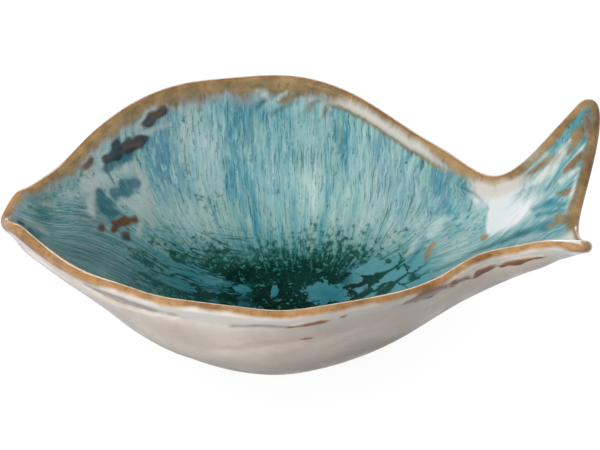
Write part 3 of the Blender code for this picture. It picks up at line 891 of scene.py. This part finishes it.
def pool_tone(board, inside, tone):
    """The dark pool: dabs at its far edge, lines to the head, cells to the tail, islands in its midst."""
    shades = board.shades
    x, gather = inside.x, inside.gather
    lying = board.drawn(inside.place, PATCHES_PER_METRE)
    west = board.smooth(x, *POOL_WEST)
    vein = board.blend(west, streaks(board, inside.flow, 5.0, 42, 3, 0.65), lying)
    speck = board.weigh((inside.grain, 0.55), (vein, 0.45))
    level = board.straight(gather, 0.45, 1.05, 0.35, 0.66)
    depth = board.ramp(board.noise(inside.place, 70, 3), (0.42, shades.pine), (0.68, shades.emerald))
    depth = board.lay(depth, shades.moss, (gather, 0.45, 0.85))

    cloud = board.weigh((board.noise(inside.place, 90, 3), 0.5), (inside.streak, 0.4),
                        (board.smooth(x, *POOL_EAST), 0.24))
    water = board.ramp(cloud, (0.36, shades.lagoon), (0.66, shades.celadon))
    # Painted shade over the pool's islands and cells, too.
    water = board.lay(water, shades.dusk_shade, inside.floor_shade, 0.5)
    width = board.straight(gather, 0.45, 1.05, 0.18, -0.01)
    cells = board.lay(water, depth, (board.minus(cell_edge(board, inside), width), 0.06, -0.04, 0.95))
    bank = board.plus(inside.y, board.strays((vein, 0.020)))
    off_line = board.sum("ABSOLUTE", board.minus(board.drawn(inside.place, LINES_PER_METRE, 0.3), 0.5))
    lines = board.times(board.smooth(off_line, 0.040, 0.010), west)
    lines = board.times(lines, board.smooth(gather, 1.08, 0.82, 0.95))
    shore = board.strays((board.noise(inside.place, 120, 4, 0.6), 2.2), (inside.grain, 1.4))
    return board.layers(
        tone,
        (shades.fern, (gather, 1.0, 0.62, 0.75)),
        (depth, (board.minus(speck, level), -0.10, 0.09)),
        (shades.fern, (inside.grain, 0.56, 0.66, 0.85), (gather, 0.95, 0.55)),
        (cells, (bank, *POOL_BANK), (gather, 1.15, 0.90), (x, *CELLS_START)),
        (water, west, (lying, 0.50, 0.42), (gather, 1.05, 0.80, 0.75)),
        (depth, lines),
        (board.lay(water, depth, lines, 0.8), (board.plus(inside.island, shore), -0.10, 0.09, 0.92)),
    )


def slip_tone(board, inside, tone, iron):
    """Trailed strokes: sunk teal, thin white, and iron slip with dark ends on the head; on the tail, white
    is partly painted highlight.
    """
    shades = board.shades
    soft = board.spread(board.noise(inside.place, 260, 3, 0.6), 0.90, 1.10)
    brushed = board.times(soft, board.spread(inside.streak, 0.65, 1.25))
    white = board.times(inside.white, brushed)
    bare = board.smooth(inside.x, *BARE_SLIP)
    tail = board.smooth(inside.x, *TAIL_GROOVES)
    chalk = board.lay(shades.veil, shades.frost, board.straight(bare, 0.0, 1.0, 0.5, 0.95))
    bright = board.plus(board.smooth(inside.streak, 0.40, 0.62, 0.35), board.times(tail, 0.6))
    sunk = board.layers(shades.deep, (shades.teal, bright), (shades.turquoise, tail, 0.7))
    slip = board.ramp(board.noise(inside.place, 95, 2), (0.38, shades.ink), (0.56, shades.rust),
                      (0.92, shades.ochre))
    worn = board.plus(soft, board.times(tail, board.spread(inside.streak, -0.5, 0.3)))
    return board.layers(
        tone,
        (chalk, (white, 0.0, 1.2, 0.8)),
        (sunk, (board.times(inside.teal, brushed), 0.0, 1.1, 0.88)),
        (board.lay(slip, iron, bare), (board.times(inside.brown, worn), 0.1, 1.0, 0.95)),
        # Partly painted highlight: the tail's pale strokes laid again in mist, over the iron.
        (shades.mist, (white, 0.3, 1.1, 0.7), tail),
    )


def fin_tone(board, inside, tone, iron):
    """Fin rays of bare iron glaze, with turquoise and white run into the grooves between them."""
    shades = board.shades
    groove = board.ramp(inside.streak, (0.36, shades.celadon), (0.48, shades.ice), (0.62, shades.mist))
    ridge = board.plus(inside.fin, board.strays((inside.streak, 2.2), (inside.clump, 1.6)))
    outward = board.times(board.smooth(inside.x, *RAY_TIPS, 0.9, -0.6), board.smooth(inside.x, *RAY_START))
    return board.layers(
        tone,
        (groove, (ridge, 0.0, -0.9, 0.6), inside.fin_zone),
        (iron, (board.plus(ridge, outward), 0.0, 0.9, 0.8), inside.fin_zone),
    )


def inner_tone(board, place):
    """Colour of the inside, from the streaks on the wall to the iron under the lip, with a painted highlight
    and reflection.
    """
    shades = board.shades
    inside = Inside(board, place)
    x, drop = inside.x, inside.drop
    iron = iron_tone(board, inside)
    tone = pool_tone(board, inside, wall_tone(board, inside))
    tone = fin_tone(board, inside, tone, iron)
    # Painted highlight: the thick pale glaze at the tail's stalk and its flush under the lip, laid near
    # white.
    ragged = board.weigh((inside.streak, 1.6), (inside.hair, 0.8))
    milky_highlight = board.times(inside.milky_highlight, board.minus(ragged, 0.2))
    milk_highlight = board.lay(shades.milk_highlight, board.lay(shades.milk_highlight, shades.honey, 0.32), (drop, *BLUSH_HIGHLIGHT_DROP))
    # The cream band inside the far lip is a painted reflection, tinted with honey away from the rim.
    cream = board.lay(shades.milk_highlight, shades.honey, (drop, *REFLECTION_HONEY_DROP, 0.6, 0.25))
    stray = board.strays((inside.streak, 0.009), (inside.hair, 0.003), (board.noise(place, 70, 2), 0.008))
    lower = board.plus(drop, board.times(stray, board.smooth(x, *RAGGED_END, 0.35, 1.0)))
    seam = board.sum("ABSOLUTE", board.minus(lower, SEAM_DROP))
    below = board.minus(lower, inside.band)
    tone = board.layers(
        tone,
        (milk_highlight, (milky_highlight, 0.06, 0.95, 0.97)),
        # Painted reflection inside the far lip: an iron seam, then the cream band.
        (iron, (seam, *SEAM_WIDTH, 0.75), inside.roll),
        (cream, (lower, *REFLECTION_BAND_DROP, 0.92), inside.roll),
        (shades.veil, (below, *VEIL_DROP, 0.75), (x, *VEIL_END)),
        (iron, (below, *IRON_DROP)),
    )
    tone = slip_tone(board, inside, tone, iron)
    crown = board.plus(lower, board.smooth(x, *LOBE_FOLD, 0.0038, 0.0016))
    return board.lay(tone, shades.mist, (crown, *CROWN_DROP, 0.85), (inside.y, *NEAR_LOBE), (x, *LOBE_TIP),
                     (x, *LOBE_START))


def outer_tone(board, place):
    """Colour of the outside: cream, white under the lip, rust where ridges wear it thin, and painted shade.
    """
    shades = board.shades
    x, _, height = board.split(place)
    rust, fold_and_shade, wash = board.split(board.attribute("ridge", "Vector"))
    drip = board.drawn(place, DRIPS_PER_METRE)
    below = board.plus(board.attribute("edge"), board.strays((drip, 0.010)))
    run = board.times(wash, board.spread(drip, 0.3, 1.1))
    brush = board.drawn(place, BRUSH_PER_METRE)
    worn = board.times(rust, board.spread(brush, 0.7, 1.25))
    iron = board.lay(shades.umber, shades.ochre, (brush, 0.40, 0.70, 0.5))
    return board.layers(
        board.ramp(board.noise(place, 40, 4, 0.6), (0.34, shades.greige), (0.60, shades.cream)),
        (shades.mist, (below, *MIST_DROP)),
        # Painted shade: the outside darker in clay from the middle towards the tail, where less light falls.
        (shades.clay, (x, *PAINTED_SHADE_START, 0.26), (x, *PAINTED_SHADE_END)),
        # Painted shade in the folds.
        (shades.mauve_and_shade, fold_and_shade, 0.75),
        # Darker towards the foot: the glaze thinning to clay, and painted shade.
        (shades.clay, (height, *BARE_AND_SHADED_BELOW, 0.9)),
        (shades.mauve_and_shade, (run, 0.05, 0.45, 0.5)),
        (shades.umber, (run, 0.2, 0.7, 0.9)),
        (shades.honey, (worn, 0.08, 0.42, 0.7)),
        (iron, (worn, 0.28, 0.75, 0.95)),
    )


def lip_tone(board, place):
    """Colour of the lip: the inside's, up to a ragged line where the outside's takes over."""
    x = board.split(place)[0]
    turned = board.plus(board.smooth(x, *SNOUT_LIP, -0.0022), board.smooth(x, *TAIL_LIP, -0.0040))
    line = board.plus(board.attribute("edge"), turned)
    line = board.plus(line, board.strays((board.noise(place, 80, 3), 0.0036)))
    return board.lay(inner_tone(board, place), outer_tone(board, place), (line, *LIP_OUTSIDE))


def clay_tone(board, place):
    """Colour of the bare clay, with dark grains of grog."""
    shades = board.shades
    return board.layers(
        shades.clay,
        (shades.honey, (board.noise(place, 45, 3), 0.35, 0.65, 0.35)),
        (shades.rust, (board.noise(place, *GROG), 0.62, 0.72, 0.6)),
    )


def new_tree(name, inputs):
    """A geometry tree with a mesh going in and out, and named inputs: name, kind and default."""
    tree = bpy.data.node_groups.new(name, "GeometryNodeTree")
    tree.interface.new_socket("Geometry", in_out="INPUT", socket_type="NodeSocketGeometry")
    tree.interface.new_socket("Geometry", in_out="OUTPUT", socket_type="NodeSocketGeometry")
    for label, kind, default in inputs:
        socket = tree.interface.new_socket(label, in_out="INPUT", socket_type=kind)
        if default is not None:
            socket.default_value = default
    board = Board(tree)
    return board, board.add("NodeGroupInput").outputs, board.add("NodeGroupOutput").inputs


def end_tree(board, geometry, material, out):
    """Every tree ends by realizing what it made and giving it its material."""
    real = board.fill(board.add("GeometryNodeRealizeInstances"), {"Geometry": geometry})[0]
    dressed = board.fill(board.add("GeometryNodeSetMaterial"), {"Geometry": real, "Material": material})[0]
    board.feed(out[0], dressed)


def named(board, name, kind="FLOAT"):
    return board.add("GeometryNodeInputNamedAttribute", name, data_type=kind).outputs[0]


def raise_along_normal(board, geometry, height):
    scale = board.add("ShaderNodeVectorMath", board.add("GeometryNodeInputNormal").outputs[0],
                      operation="SCALE")
    offset = board.fill(scale, {"Scale": height})[0]
    return board.fill(board.add("GeometryNodeSetPosition"), {"Geometry": geometry, "Offset": offset})[0]


def keep_field(board, geometry, name, value):
    store = board.add("GeometryNodeStoreNamedAttribute", data_type="FLOAT", domain="POINT")
    return board.fill(store, {"Geometry": geometry, "Name": name, "Value": value})[0]


def fin_ray_tree():
    """Raises the tail fin's rays and the slanted strokes of the back fin, and notes where they are."""
    board, enter, leave = new_tree("fin_rays", (
        ("Ray Count", "NodeSocketFloat", 9.0),
        ("Ray Height", "NodeSocketFloat", 0.0007),
        ("Ray Start", "NodeSocketFloat", 0.088),
        ("Stroke Pitch", "NodeSocketFloat", 0.006),
        ("Stroke Height", "NodeSocketFloat", 0.0005),
        ("Stroke Slant", "NodeSocketFloat", 0.9),
        ("Seed", "NodeSocketFloat", 3.0),
        ("Material", "NodeSocketMaterial", None),
    ))
    geometry, count, ray_height, start, pitch, stroke_height, slant, seed, material = list(enter)[:9]
    place = board.add("GeometryNodeInputPosition").outputs[0]
    x = board.split(place)[0]
    share = named(board, "share")
    drop = board.split(named(board, "flow", "FLOAT_VECTOR"))[2]
    stray = board.minus(board.noise(place, STRAYS_PER_METRE, seed=seed), 0.5)

    turn = board.times(board.plus(share, board.times(stray, RAY_STRAY)), board.times(count, math.pi))
    reach = board.smooth(x, start, board.plus(start, FIN_RAY_FADE))
    rays = board.times(board.sum("COSINE", turn), reach)

    phase = board.plus(x, board.times(drop, slant))
    turn = board.sum("DIVIDE", board.plus(phase, board.times(stray, STROKE_STRAY)), pitch)
    wave = board.sum("COSINE", board.times(turn, 2 * math.pi))
    window = board.times(board.smooth(x, *FIN_STROKES_START), board.smooth(x, *FIN_STROKES_END))
    window = board.times(window, board.smooth(drop, *FIN_STROKES_DROP))
    strokes = board.times(wave, board.times(window, board.smooth(share, *FIN_STROKES_SHARE)))

    low = board.smooth(drop, *FIN_DROP)
    height = board.weigh((board.plus(rays, board.times(reach, GROOVE_LIFT)), ray_height),
                         (board.plus(strokes, board.times(window, GROOVE_LIFT)), stroke_height))
    fade = board.times(low, named(board, "cover"))
    geometry = raise_along_normal(board, geometry, board.times(height, fade))
    ridges = board.plus(rays, board.times(strokes, STROKE_SHOW))
    geometry = keep_field(board, geometry, "fin", board.times(ridges, low))
    geometry = keep_field(board, geometry, "fin_zone", board.times(board.plus(reach, window), low))
    end_tree(board, geometry, material, leave)
    return board.tree


def pinch_tree():
    """Dents the outside as fingers pinch it: long low ridges that follow the rim."""
    board, enter, leave = new_tree("pinch_marks", (
        ("Depth", "NodeSocketFloat", 0.001),
        ("Length", "NodeSocketFloat", 0.055),
        ("Width", "NodeSocketFloat", 0.020),
        ("Seed", "NodeSocketFloat", 5.0),
        ("Material", "NodeSocketMaterial", None),
    ))
    geometry, depth, along, across, seed, material = list(enter)[:6]
    x, y, z = board.split(board.add("GeometryNodeInputPosition").outputs[0])
    drawn = board.join(*[board.sum("DIVIDE", *pair) for pair in ((x, along), (y, along), (z, across))])
    dents = board.minus(board.noise(drawn, 1.0, 0.5, seed=seed), UNPINCHED)
    fade = board.times(board.smooth(named(board, "edge"), *PINCH_DROP), board.smooth(z, *PINCH_ABOVE))
    fade = board.times(fade, named(board, "cover"))
    geometry = raise_along_normal(board, geometry, board.times(board.times(dents, depth), fade))
    end_tree(board, geometry, material, leave)
    return board.tree


def through_nodes(piece, tree, values):
    """Run the piece through a geometry tree, its inputs given by name, and keep the result as its mesh."""
    modifier = piece.modifiers.new(tree.name, "NODES")
    modifier.node_group = tree
    for item in tree.interface.items_tree:
        if item.in_out == "INPUT" and item.name in values:
            modifier[item.identifier] = values[item.name]
    graph = bpy.context.evaluated_depsgraph_get()
    mesh = bpy.data.meshes.new_from_object(piece.evaluated_get(graph), depsgraph=graph)
    piece.modifiers.clear()
    old = piece.data
    piece.data = mesh
    bpy.data.meshes.remove(old)
    mesh.name = piece.name


def flow_field(spots, drop):
    """The way the glaze ran: its heading on a circle round the pool, and its way below the rim."""
    along = (spots[..., 0] - GATHER_X) / FLOW_LENGTH
    share = spots[..., 1]
    across = np.sign(share) * (1 - (1 - np.abs(share)) ** FLOW_STEEPNESS)
    heading = np.stack([along, across], axis=-1)
    heading = heading / np.maximum(np.linalg.norm(heading, axis=-1, keepdims=True), NO_WAY)
    return np.concatenate([heading, drop[..., None]], axis=-1)


def patch_field(points):
    """How pale and how blue the inner glaze is, and how much painted shade darkens it."""
    x, y = points[..., 0], points[..., 1]
    return np.stack([
        np.max([strength * np.exp(-((x - patch_x) ** 2 + (y - patch_y) ** 2) / radius ** 2)
                for patch_x, patch_y, radius, strength in patches], axis=0)
        for patches in PATCHES.values()], axis=-1)


def gather_field(points):
    """How far out the points are from where the glaze gathers, which is 1 on the pool's edge."""
    x, y = points[..., 0] - GATHER_X, points[..., 1] - GATHER_Y
    return np.hypot(x / np.where(x < 0, GATHER_HEAD, GATHER_TAIL), y / GATHER_ACROSS)


def island_field(points):
    """How deep the points lie in a pale island: 1 in its middle, 0 on its edge and less outside."""
    best = np.full(points.shape[:-1], FAR_FROM_ISLANDS)
    for x, y, half_length, half_width in ISLANDS:
        reach = np.hypot((points[..., 0] - x) / half_length, (points[..., 1] - y) / half_width)
        best = np.maximum(best, 1 - reach)
    return best


def stroke_fields(points, strokes, side):
    """How much of each kind of stroke lies at the points, and how far they stand proud."""
    marks = np.zeros((len(strokes), *points.shape[:-1]))
    rise = np.zeros(points.shape[:-1])
    ripple = RIPPLE * np.sin(points @ RIPPLES_PER_METRE.T).sum(axis=-1)
    for mark, (kind, paths) in zip(marks, strokes.items()):
        edge = STROKE_EDGES[kind]
        for proud, *spots in paths:
            spots = np.array(spots)
            path = off_middle(spots[:, :2], side)
            depth = np.full(rise.shape, -np.inf)
            for i in range(len(path) - 1):
                way = path[i + 1] - path[i]
                share = np.clip(((points - path[i]) @ way) / (way @ way), 0, 1)
                half_width = spots[i, 2] + share * (spots[i + 1, 2] - spots[i, 2])
                away = np.linalg.norm(points - path[i] - share[..., None] * way, axis=-1)
                depth = np.maximum(depth, half_width - away)
            amount = smooth_step(-edge, edge, depth + ripple * spots[:, 2].mean())
            rise += proud * amount
            np.maximum(mark, amount, out=mark)
    return np.stack(marks[:COLOURED_KINDS], axis=-1), rise


def trim_field(spots):
    """Width of the iron band inside the lip, a painted cream reflection over it, and pale glaze painted as a
    highlight under it.
    """
    x, share = spots[..., 0], spots[..., 1]
    band = np.interp(x, BAND_WIDTHS[:, 0], BAND_WIDTHS[:, 1])
    # Where the painted reflection band lies: on the far side, from the middle towards the tail.
    roll = (share > 0) * smooth_step(*REFLECTION_BAND_START, x) * smooth_step(*REFLECTION_BAND_END, x)
    left = MILK_HIGHLIGHT_LEFT - MILK_HIGHLIGHT_LEAN * np.maximum(share - MILK_HIGHLIGHT_BEND, 0)
    right = MILK_HIGHLIGHT_RIGHT - MILK_HIGHLIGHT_LEAN * (share - MILK_HIGHLIGHT_BOTTOM)
    milky_highlight = smooth_step(left - MILK_HIGHLIGHT_EDGE, left + MILK_HIGHLIGHT_EDGE, x) * smooth_step(right, right - MILK_HIGHLIGHT_FADE, x)
    milky_highlight *= smooth_step(MILK_HIGHLIGHT_BOTTOM - MILK_HIGHLIGHT_BOTTOM_EDGE, MILK_HIGHLIGHT_BOTTOM + MILK_HIGHLIGHT_BOTTOM_EDGE, share)
    blush_highlight = smooth_step(*BLUSH_HIGHLIGHT_START, x) * smooth_step(*BLUSH_HIGHLIGHT_END, x) * smooth_step(*BLUSH_HIGHLIGHT_BOTTOM, share)
    return np.stack([band, roll, np.maximum(milky_highlight, blush_highlight)], axis=-1)


def inside_fields(spots, drop):
    """What the inner glaze's material reads at spots that lie that way below the rim, and how they rise."""
    points = off_middle(spots, COAT_FACE)
    marks, rise = stroke_fields(points, STROKES, COAT_FACE)
    return {
        "flow": flow_field(spots, drop),
        "tint": patch_field(points),
        "gather": gather_field(points),
        "island": island_field(points),
        "mark": marks,
        "share": spots[..., 1],
        "trim": trim_field(spots),
    }, rise


def drop_along(start, shares):
    """The way below the rim of the spots at these shares of each column's way to the well."""
    fine = np.linspace(0, 1, RUN_STEPS)
    run = RIM_INSIDE + run_length(off_middle(ray(start, fine[:, None]), COAT_FACE))
    shares = np.broadcast_to(shares, (len(shares), len(start)))
    return np.stack([np.interp(column, fine, way) for column, way in zip(shares.T, run.T)], axis=1)


def both_sides(fields, face, back):
    """The fields of a coat over its face and then its back, with the way through the rows of each."""
    return {name: np.concatenate([values[face], values[back]]) for name, values in fields.items()}


def cover_field(columns):
    """1 on the face of a coat on the wall and 0 on its back, which no relief may move."""
    return np.repeat((1.0, 0.0), (WALL_ROWS, HIDDEN_ROWS))[:, None] * np.ones(columns)


class BOWL_OT_clay_body(bpy.types.Operator):
    """Skin the clay wall, the lip's core and the bare foot"""
    bl_idname = "bowl.clay_body"
    bl_label = "Clay body"

    def execute(self, context):
        rim, inside, outside = rim_spots(), rim_spots(RIM_INSIDE), rim_spots(RIM_OUTSIDE)
        shares = np.linspace(0, 1, HIDDEN_ROWS)[:, None]
        inner = off_middle(ray(inside, shares[:-1]), CLAY_FACE)[UP]
        outer = off_middle(ray(outside, shares * crossing(outside, foot_measure, 1.0)), -CLAY_FACE)
        foot_middle = np.append(WELL, 0.0)
        foot_ring = outer[-1] * (1, 1, 0)
        foot_ring = foot_ring + FOOT_DRAFT * unit(foot_middle - foot_ring)
        foot_inner = (foot_middle + foot_ring) / 2
        rows = np.concatenate([inner, lip(rim, CLAY_FACE)[CLAY_LIP], outer, [foot_ring, foot_inner]])
        piece = loft("clay_body_skin", rows, {}, np.array([off_middle(WELL, CLAY_FACE), foot_middle]))
        piece.data.materials.append(finish("bare_clay", clay_tone))
        finish_piece(piece, "clay_body")
        return {"FINISHED"}


class BOWL_OT_inner_glaze(bpy.types.Operator):
    """Skin the inner glaze, with its trailed strokes and the fin rays"""
    bl_idname = "bowl.inner_glaze"
    bl_label = "Inner glaze"

    def execute(self, context):
        shape = context.scene.bowl_shape
        start = rim_spots(RIM_INSIDE)
        shares = np.linspace(0, 1, WALL_ROWS, endpoint=False)[:, None]
        spots = ray(start, shares)
        fields, rise = inside_fields(spots, drop_along(start, shares))
        face = off_middle(spots, COAT_FACE + rise)
        rows = np.concatenate([face[UP], off_middle(spots[BACK_DOWN], COAT_BED)])
        fields = both_sides(fields, UP, BACK_DOWN)
        fields["cover"] = cover_field(len(start))
        piece = loft("inner_glaze_skin", rows, fields, off_middle(WELL, (COAT_FACE, COAT_BED)))
        through_nodes(piece, fin_ray_tree(), {
            "Ray Count": shape.ray_count, "Ray Height": shape.ray_height,
            "Stroke Pitch": shape.stroke_pitch, "Stroke Height": shape.stroke_height,
            "Material": finish("celadon_glaze", inner_tone)})
        finish_piece(piece, "inner_glaze")
        return {"FINISHED"}


class BOWL_OT_glaze_pool(bpy.types.Operator):
    """Skin the pool of run glaze, which thins out to nothing on the inner glaze"""
    bl_idname = "bowl.glaze_pool"
    bl_label = "Glaze pool"

    def execute(self, context):
        pool_depth = context.scene.bowl_shape.pool_depth
        start = rim_spots(RIM_INSIDE)
        shore = crossing(start, lambda spot: off_middle(spot, COAT_FACE)[..., 2], POOL_LEVEL)
        inward = np.linspace(0, 1, POOL_ROWS, endpoint=False)[:, None]
        shares = shore + inward * (1 - shore)
        spots = ray(start, shares)
        face = off_middle(spots, POOL_BED + pool_depth * smooth_step(0.0, 1.0, inward))
        rows = np.concatenate([face[UP], off_middle(spots[POOL_BACK], POOL_BED)])
        fields, _ = inside_fields(spots, drop_along(start, shares))
        piece = loft("glaze_pool_skin", rows, both_sides(fields, UP, POOL_BACK),
                     off_middle(WELL, (POOL_BED + pool_depth, POOL_BED)))
        piece.data.materials.append(finish("emerald_glaze", inner_tone))
        finish_piece(piece, "glaze_pool")
        return {"FINISHED"}


class BOWL_OT_rim_glaze(bpy.types.Operator):
    """Skin the iron glaze that breaks over the lip"""
    bl_idname = "bowl.rim_glaze"
    bl_label = "Rim glaze"

    def execute(self, context):
        rim = rim_spots()
        inside = np.array([rim_spots(RIM_INSIDE * share) for share in RIM_SHARES[UP]])
        outside = np.array([rim_spots(RIM_OUTSIDE * share) for share in RIM_SHARES])
        _, worn = stroke_fields(off_middle(outside, -COAT_FACE), RIDGES, -COAT_FACE)
        over = np.concatenate([off_middle(inside, COAT_FACE), lip(rim, COAT_FACE),
                               off_middle(outside, -COAT_FACE - worn)])
        under = np.concatenate([off_middle(inside, COAT_BED), lip(rim, COAT_BED),
                                off_middle(outside, -COAT_BED)])
        crest = np.broadcast_to(rim, (LIP_ROWS + 2, *rim.shape))
        run = run_length(over)
        fields, _ = inside_fields(np.concatenate([inside, crest, outside]), run[len(inside)] - run)
        fields["edge"] = run - run[-len(outside) - 1]
        fields["ridge"], _ = stroke_fields(over, RIDGES, -COAT_FACE)
        piece = loft("rim_glaze_skin", np.concatenate([over, under[UP]]), both_sides(fields, DOWN, UP))
        piece.data.materials.append(finish("iron_lip", lip_tone))
        finish_piece(piece, "rim_glaze")
        return {"FINISHED"}


class BOWL_OT_outer_glaze(bpy.types.Operator):
    """Skin the outer glaze, dented by pinching fingers"""
    bl_idname = "bowl.outer_glaze"
    bl_label = "Outer glaze"

    def execute(self, context):
        start = rim_spots(RIM_OUTSIDE)
        shares = np.linspace(0, 1, WALL_ROWS)[:, None] * crossing(start, foot_measure, 1.0)
        spots = ray(start, shares)
        face = off_middle(spots, -COAT_FACE)
        marks, rise = stroke_fields(face, RIDGES, -COAT_FACE)
        rows = np.concatenate([off_middle(spots, -COAT_FACE - rise), off_middle(spots[BACK_UP], -COAT_BED)])
        fields = both_sides({"edge": RIM_OUTSIDE + run_length(face), "ridge": marks}, DOWN, BACK_UP)
        fields["cover"] = cover_field(len(start))
        piece = loft("outer_glaze_skin", rows, fields)
        through_nodes(piece, pinch_tree(), {"Depth": context.scene.bowl_shape.pinch_depth,
                                            "Material": finish("cream_glaze", outer_tone)})
        finish_piece(piece, "outer_glaze")
        return {"FINISHED"}


def point_at(thing, place, aim):
    thing.location = place
    thing.rotation_euler = (Vector(aim) - Vector(place)).to_track_quat("-Z", "Y").to_euler()


def seen(board):
    """1 for rays that show the background: camera, mirror and glass rays."""
    path = board.add("ShaderNodeLightPath").outputs
    shown = board.sum("MAXIMUM", path["Is Camera Ray"], path["Is Transmission Ray"])
    return board.sum("MAXIMUM", shown, path["Is Glossy Ray"])


class BOWL_OT_stage(bpy.types.Operator):
    """Set up the floor, the softboxes and the camera"""
    bl_idname = "bowl.stage"
    bl_label = "Stage"

    def execute(self, context):
        scene = context.scene
        scene.view_settings.view_transform = "Standard"
        light = scene.bowl_light
        self.make_floor(scene)
        self.make_sky(scene, light)
        for name, setting, width, height, place, aim, mirrored in SOFTBOXES:
            lamp = bpy.data.objects.new(name, bpy.data.lights.new(name, "AREA"))
            lamp.data.shape = "RECTANGLE"
            lamp.data.size, lamp.data.size_y = width, height
            lamp.data.energy = getattr(light, setting)
            lamp.visible_glossy = mirrored
            lamp.visible_diffuse = not mirrored
            point_at(lamp, place, aim)
            scene.collection.objects.link(lamp)
        camera = bpy.data.objects.new("camera", bpy.data.cameras.new("camera"))
        camera.data.sensor_width = CAMERA_SENSOR
        camera.data.lens = CAMERA_LENS
        camera.data.clip_start = CAMERA_NEAR
        point_at(camera, CAMERA_PLACE, CAMERA_AIM)
        scene.collection.objects.link(camera)
        scene.camera = camera
        return {"FINISHED"}

    def make_floor(self, scene):
        """A sheet that shines white to the camera and takes the bowl's shadow."""
        mesh = bpy.data.meshes.new("floor")
        mesh.from_pydata([(STAGE_REACH * x, STAGE_REACH * y, 0) for x, y in SQUARE], [], [(0, 1, 2, 3)])
        floor = bpy.data.objects.new("floor", mesh)
        scene.collection.objects.link(floor)
        material, board, place, shader = new_material("studio_floor")
        shade = scene.bowl_colours.floor
        darker = tuple(FLOOR_GRAIN * part for part in shade)
        board.fill(shader, {
            "Base Color": board.lay(shade, darker, board.noise(place, 40, 3)), "Roughness": FLOOR_ROUGHNESS,
            "Specular IOR Level": FLOOR_SPECULAR, "Emission Color": WHITE,
            "Emission Strength": board.times(seen(board), FLOOR_GLOW)})
        mesh.materials.append(material)

    def make_sky(self, scene, light):
        """White to the camera, even light on the bowl, and a dark ceiling over a white horizon in gloss."""
        world = bpy.data.worlds.new("studio")
        world.use_nodes = True
        scene.world = world
        board = Board(world.node_tree)
        height = board.split(board.add("ShaderNodeTexCoord").outputs["Generated"])[2]
        mirrored = board.straight(height, *HORIZON, 1.0, light.ceiling)
        path = board.add("ShaderNodeLightPath").outputs
        gloss = board.times(path["Is Glossy Ray"], mirrored)
        clear = board.sum("MAXIMUM", path["Is Camera Ray"], path["Is Transmission Ray"])
        strength = board.plus(board.times(board.minus(1.0, seen(board)), light.sky),
                              board.sum("MAXIMUM", gloss, clear))
        board.fill(world.node_tree.nodes["Background"], {"Color": WHITE, "Strength": strength})


class BOWL_PT_panel(bpy.types.Panel):
    """Sizes, colours and light of the bowl, and the pieces to make"""
    bl_label = "Fish bowl"
    bl_idname = "BOWL_PT_panel"
    bl_space_type = "VIEW_3D"
    bl_region_type = "UI"
    bl_category = "Fish bowl"

    def draw(self, context):
        for name, group in SETTINGS:
            box = self.layout.box()
            for setting in group.__annotations__:
                box.prop(getattr(context.scene, name), setting)
        for maker in MAKERS:
            self.layout.operator(maker.bl_idname)


MAKERS = (BOWL_OT_clay_body, BOWL_OT_inner_glaze, BOWL_OT_glaze_pool, BOWL_OT_rim_glaze,
          BOWL_OT_outer_glaze, BOWL_OT_stage)
SETTINGS = (("bowl_shape", BowlShape), ("bowl_colours", BowlColours), ("bowl_light", StudioLight))


def register():
    for name, group in SETTINGS:
        bpy.utils.register_class(group)
        setattr(bpy.types.Scene, name, bpy.props.PointerProperty(type=group))
    for maker in (*MAKERS, BOWL_PT_panel):
        bpy.utils.register_class(maker)


def unregister():
    for maker in (BOWL_PT_panel, *MAKERS[::-1]):
        bpy.utils.unregister_class(maker)
    for name, group in SETTINGS[::-1]:
        delattr(bpy.types.Scene, name)
        bpy.utils.unregister_class(group)


def main():
    register()
    bpy.ops.bowl.clay_body()
    bpy.ops.bowl.inner_glaze()
    bpy.ops.bowl.glaze_pool()
    bpy.ops.bowl.rim_glaze()
    bpy.ops.bowl.outer_glaze()
    bpy.ops.bowl.stage()


if __name__ == "__main__":
    main()
